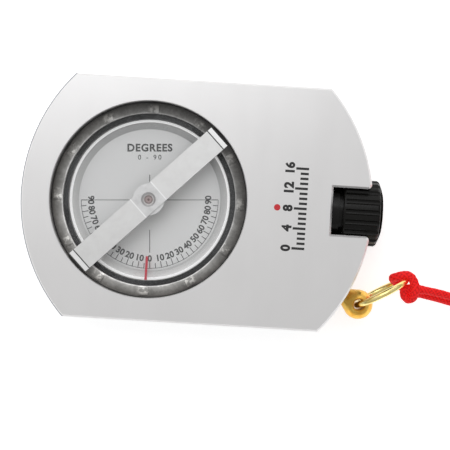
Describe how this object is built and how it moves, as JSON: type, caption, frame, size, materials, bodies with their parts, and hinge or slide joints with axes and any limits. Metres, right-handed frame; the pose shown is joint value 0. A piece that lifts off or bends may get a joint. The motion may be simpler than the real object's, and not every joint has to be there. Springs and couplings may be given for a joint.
{
  "type": "hand-held clinometer",
  "caption": "Pocket clinometer: aluminium block with a liquid capsule, a weighted self-levelling dial, a focusing eyepiece and a lanyard on a ring.",
  "frame": {"origin": "centre of the round stock on the flat back face", "axes": "+X along the block to the eyepiece, +Z out of the dial face, +Y to the side away from the lanyard eye"},
  "size_m": [0.1222, 0.0512, 0.015],
  "materials": {
    "anodised_aluminium": "fine satin, clear anodised",
    "clear_acrylic": "clear moulded acrylic",
    "dark_rubber": "smooth",
    "red_index": "red line",
    "bar_aluminium": "satin",
    "ruby": "polished synthetic ruby",
    "brass": "turned",
    "wheel_plastic": "moulded",
    "dial_plate": "matt grey, printed",
    "scale_film": "printed film",
    "weight_metal": "plated",
    "steel": "polished",
    "black_metal": "matt black",
    "black_plastic": "moulded, satin",
    "optical_glass": "polished",
    "gold_wire": "bright plated wire",
    "red_cord": "braided"
  },
  "bodies": {
    "housing": {"body_block": "anodised_aluminium", "capsule_cup": "clear_acrylic", "capsule_cover": "clear_acrylic", "capsule_seal": "dark_rubber", "capsule_fill_plug": "dark_rubber", "index_line": "red_index", "bridge_bar": "bar_aluminium", "front_jewel": "ruby", "rear_jewel": "ruby", "rear_bearing_cup": "brass", "eyepiece_sleeve": "black_metal", "focus_o_ring": "dark_rubber", "sight_tube": "black_plastic", "reticle_disc": "optical_glass", "ball_eye": "brass"},
    "dial": {"dial_wheel": "wheel_plastic", "dial_face": "dial_plate", "rim_scale_band": "scale_film", "dial_hub": "brass", "dial_counterweight": "weight_metal", "pivot_shaft": "steel"},
    "lens_carriage": {"lens_cell": "black_metal", "guide_key": "steel", "eyepiece_lens": "optical_glass", "lens_retainer": "black_metal"},
    "eyepiece": {"eyepiece_barrel": "black_plastic", "barrel_snap_ring": "steel"},
    "lanyard": {"lanyard_ring": "gold_wire", "lanyard_hitch": "red_cord", "lanyard_strand_a": "red_cord", "lanyard_strand_b": "red_cord", "lanyard_coil": "red_cord", "lanyard_knot": "red_cord"}
  },
  "joints": [
    {"name": "dial_turn", "type": "hinge", "parent": "housing", "child": "dial", "pos_m": [-0.01065, 0, 0.0075], "axis": [0, 0, 1], "continuous": true},
    {"name": "focus_slide", "type": "slide", "parent": "housing", "child": "lens_carriage", "axis": [1, 0, 0], "range_m": [0, 0.0015]},
    {"name": "focus_turn", "type": "hinge", "parent": "lens_carriage", "child": "eyepiece", "pos_m": [0.0336, 0, 0.0075], "axis": [1, 0, 0], "range_deg": [0, 360]},
    {"name": "lanyard_swing", "type": "hinge", "parent": "housing", "child": "lanyard", "pos_m": [0.03545, -0.01971, 0.0075], "axis": [0, 0, 1], "range_deg": [-130, 15]}
  ],
  "couplings": [
    {"joint": "focus_turn", "follows": "focus_slide", "rad_per_m": 4188.8}
  ]
}
